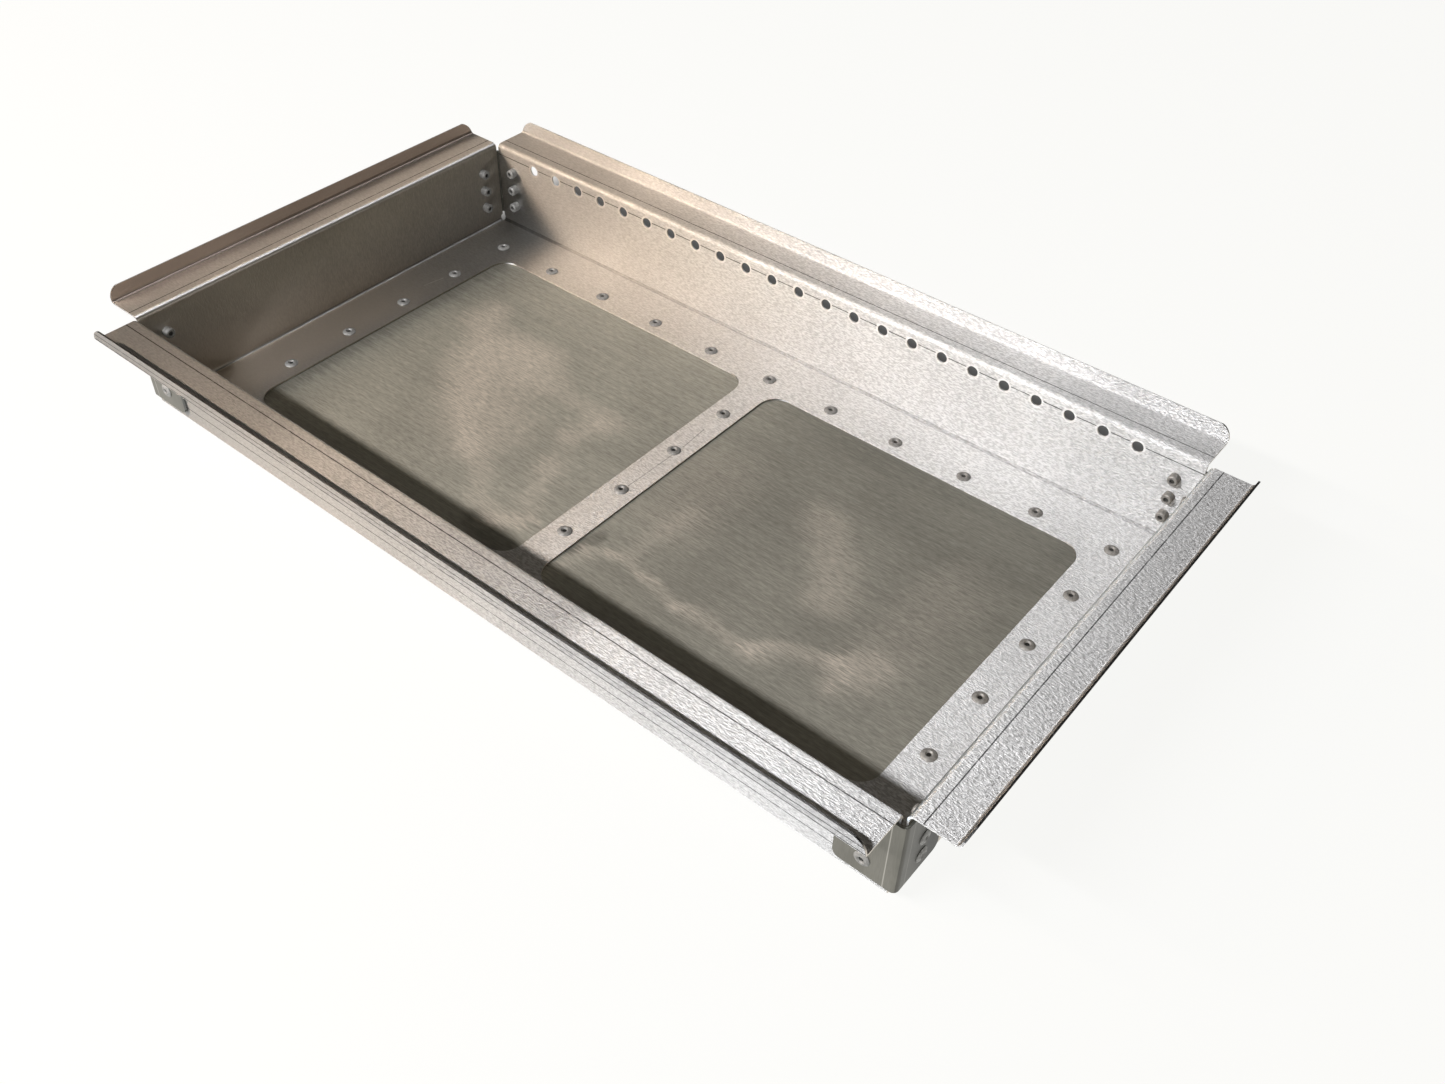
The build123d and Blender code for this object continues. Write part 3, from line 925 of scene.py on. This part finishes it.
def punch_rivet_holes(piece, level):
    """Cuts a round hole for every screen rivet."""
    work = bmesh.new()
    for x, y in rivet_centres():
        bmesh.ops.create_cone(
            work,
            cap_ends=True,
            segments=RIVET_HOLE_SIDES,
            radius1=RIVET_HOLE,
            radius2=RIVET_HOLE,
            depth=RIVET_HOLE_DEPTH,
            matrix=Matrix.Translation((x, y, level)),
        )
    punches = linked_mesh(work, "punches", "punches")
    cut = piece.modifiers.new("holes", "BOOLEAN")
    cut.operation = "DIFFERENCE"
    cut.solver = "EXACT"
    cut.object = punches
    apply_modifiers(piece)
    bpy.data.objects.remove(punches)


def pale_floor():
    """A plain pale floor, with a painted shadow under the tray and just behind it."""
    recipe = Recipe("pale_floor")
    glows = []
    # Painted shadow: the glow is dimmed under the tray and just behind it
    for place, shift, half, fade in zip((recipe.x, recipe.y), SHADE_SHIFT, bounds_at_load[1], SHADE_FADE):
        past = recipe.minus(recipe.size(recipe.minus(place, shift)), half)
        glows.append(recipe.spread(past, *fade, SHADE_SHARE, 1.0))
    material = recipe.set(
        Base_Color=FLOOR_COLOUR,
        Roughness=FLOOR_ROUGHNESS,
        Emission_Color=FLOOR_GLOW,
        Emission_Strength=recipe.times(recipe.largest(*glows), FLOOR_STRENGTH),
    )
    work = bmesh.new()
    bmesh.ops.create_grid(work, x_segments=1, y_segments=1, size=FLOOR_SIZE)
    floor = linked_mesh(work, "floor", "studio_floor")
    floor.data.materials.append(material)
    floor.location.z = bounds_at_load[0][2] - FLOOR_GAP


def strip_lights():
    """Long low strips in front that rake the grain of the sheet, with one gap between them."""
    level = math.radians(STRIP_ELEVATION)
    for name, left, right, radiance, colour in STRIPS:
        light = bpy.data.lights.new(name, "AREA")
        light.shape = "RECTANGLE"
        light.size = right - left
        light.size_y = STRIP_HEIGHT
        light.energy = radiance * math.pi * light.size * light.size_y
        light.color = colour
        lamp = bpy.data.objects.new(name, light)
        lamp.location = (
            (left + right) / 2,
            -STRIP_DISTANCE * math.cos(level),
            STRIP_DISTANCE * math.sin(level),
        )
        lamp.rotation_euler = (math.pi / 2 - level, 0, 0)
        bpy.context.collection.objects.link(lamp)


def studio_air():
    """Dim air overhead, bright only near the horizon, like a pale sweep behind the floor."""
    world = bpy.data.worlds.new("studio_air")
    bpy.context.scene.world = world
    world.use_nodes = True
    tree = world.node_tree
    tree.nodes.clear()
    place = tree.nodes.new("ShaderNodeTexCoord")
    axes = tree.nodes.new("ShaderNodeSeparateXYZ")
    ramp = tree.nodes.new("ShaderNodeValToRGB")
    air = tree.nodes.new("ShaderNodeBackground")
    output = tree.nodes.new("ShaderNodeOutputWorld")
    tree.links.new(place.outputs["Generated"], axes.inputs[0])
    tree.links.new(axes.outputs[2], ramp.inputs[0])
    tree.links.new(ramp.outputs[0], air.inputs[0])
    tree.links.new(air.outputs[0], output.inputs[0])
    for stop, (height, colour) in zip(ramp.color_ramp.elements, (HORIZON, OVERHEAD)):
        stop.position = height
        stop.color = colour


def camera():
    """The camera, from its direction, distance and roll about the aim point."""
    azimuth, elevation, roll = (math.radians(a) for a in (CAMERA_AZIMUTH, CAMERA_ELEVATION, CAMERA_ROLL))
    back = Vector((
        math.sin(azimuth) * math.cos(elevation),
        -math.cos(azimuth) * math.cos(elevation),
        math.sin(elevation),
    ))
    right = Vector((0, 0, 1)).cross(back).normalized()
    up = back.cross(right)
    rolled_right = right * math.cos(roll) + up * math.sin(roll)
    rolled_up = up * math.cos(roll) - right * math.sin(roll)
    lens = bpy.data.cameras.new("camera")
    lens.lens = CAMERA_LENS
    lens.sensor_width = CAMERA_SENSOR
    lens.clip_start = CAMERA_NEAREST
    eye = bpy.data.objects.new("camera", lens)
    turn = Matrix((rolled_right, rolled_up, back)).transposed().to_4x4()
    eye.matrix_world = Matrix.Translation(AIM_POINT + back * CAMERA_DISTANCE) @ turn
    bpy.context.collection.objects.link(eye)
    bpy.context.scene.camera = eye


def plain(corners):
    """Two corners as plain lists of numbers."""
    return [[float(v) for v in corner] for corner in corners]


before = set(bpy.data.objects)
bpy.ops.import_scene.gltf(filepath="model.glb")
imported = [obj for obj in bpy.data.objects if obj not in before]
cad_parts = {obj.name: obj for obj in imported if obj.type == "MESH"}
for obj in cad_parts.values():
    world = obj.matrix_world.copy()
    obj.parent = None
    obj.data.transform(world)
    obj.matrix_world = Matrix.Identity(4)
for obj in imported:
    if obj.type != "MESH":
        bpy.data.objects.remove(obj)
bounds_at_load = plain(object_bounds())
bpy.context.scene.view_settings.view_transform = "Standard"
camera()
pale_floor()
strip_lights()
studio_air()
paint_all()
wire_cloth_piece()
